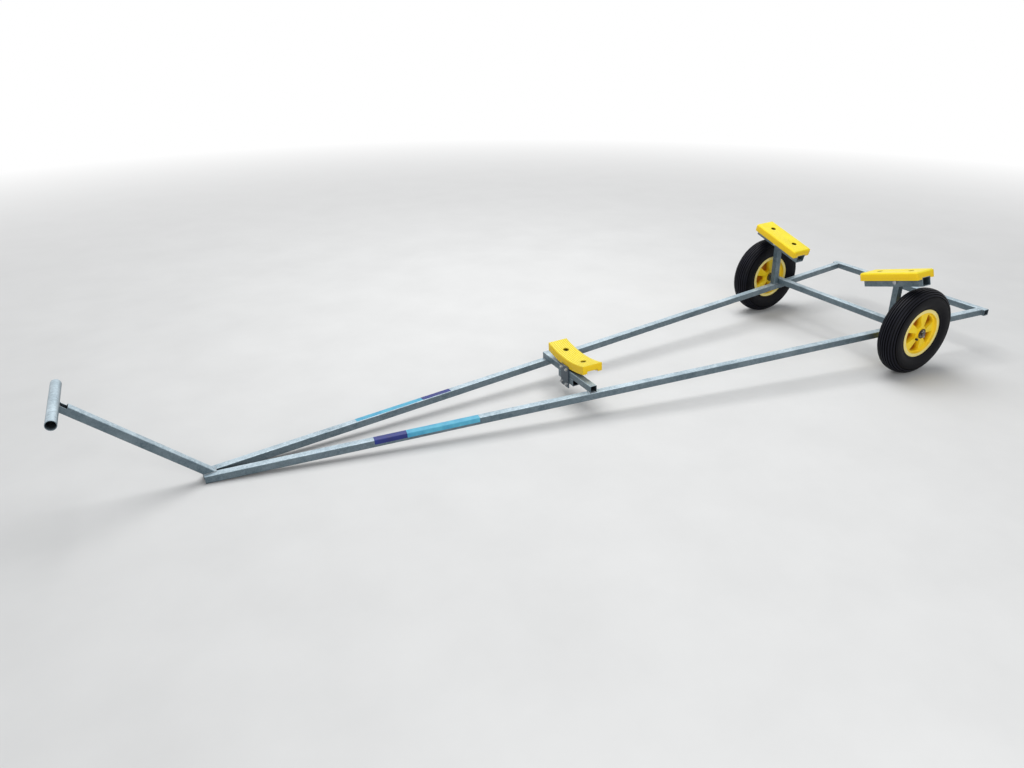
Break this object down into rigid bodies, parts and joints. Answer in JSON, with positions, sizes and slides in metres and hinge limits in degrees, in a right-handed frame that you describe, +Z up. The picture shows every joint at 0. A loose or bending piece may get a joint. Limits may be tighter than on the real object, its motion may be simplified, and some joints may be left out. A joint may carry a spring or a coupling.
{
  "type": "dinghy trolley",
  "caption": "Launching trolley for a small boat: A-shaped square-tube frame, drawbar with T handle, pneumatic wheels, tilting side pads on posts and a curved bow chock.",
  "frame": {"origin": "middle of the trolley's length and width, on the floor it stands on", "axes": "+X forward to the handle, +Y to the left wheel, +Z up"},
  "size_m": [3.958, 1.0392, 0.4951],
  "materials": {
    "galvanised": "satin",
    "bright_steel": "satin",
    "pad_plastic": "matte",
    "rim_plastic": "satin",
    "tyre": "matte",
    "valve_rubber": "matte"
  },
  "bodies": {
    "frame": {"rail_left": "galvanised", "rail_right": "galvanised", "rear_crossbar": "galvanised", "axle_beam": "galvanised", "bow_bolster": "galvanised", "clamp_block": "galvanised", "drawbar": "galvanised", "handle_tube": "galvanised", "axle_stub_left": "bright_steel", "axle_stub_right": "bright_steel", "hub_washer_left": "bright_steel", "hub_washer_right": "bright_steel", "post_left": "galvanised", "post_right": "galvanised", "pivot_bolt_left": "bright_steel", "pivot_bolt_right": "bright_steel", "pivot_spacers_left": "bright_steel", "pivot_spacers_right": "bright_steel", "bow_post": "galvanised", "clamp_plate": "galvanised", "u_bolts": "bright_steel", "chock_saddle": "galvanised", "bow_chock": "pad_plastic", "chock_screws": "bright_steel"},
    "wheel_left": {"tyre_left": "tyre", "rim_left": "rim_plastic", "hub_bush_left": "bright_steel", "valve_left": "valve_rubber"},
    "wheel_right": {"tyre_right": "tyre", "rim_right": "rim_plastic", "hub_bush_right": "bright_steel", "valve_right": "valve_rubber"},
    "support_left": {"carrier_left": "galvanised", "pad_left": "pad_plastic", "pad_screws_left": "bright_steel"},
    "support_right": {"carrier_right": "galvanised", "pad_right": "pad_plastic", "pad_screws_right": "bright_steel"}
  },
  "joints": [
    {"name": "wheel_left_spin", "type": "hinge", "parent": "frame", "child": "wheel_left", "pos_m": [-1.43558, 0.47, 0.2], "axis": [0, 1, 0], "continuous": true},
    {"name": "support_left_tilt", "type": "hinge", "parent": "frame", "child": "support_left", "pos_m": [-1.39475, 0.36906, 0.41018], "axis": [0.9987, 0, -0.0513], "range_deg": [-6, 25]},
    {"name": "wheel_right_spin", "type": "hinge", "parent": "frame", "child": "wheel_right", "pos_m": [-1.43558, -0.47, 0.2], "axis": [0, 1, 0], "continuous": true},
    {"name": "support_right_tilt", "type": "hinge", "parent": "frame", "child": "support_right", "pos_m": [-1.39475, -0.36906, 0.41018], "axis": [-0.9987, 0, 0.0513], "range_deg": [-6, 25]}
  ]
}
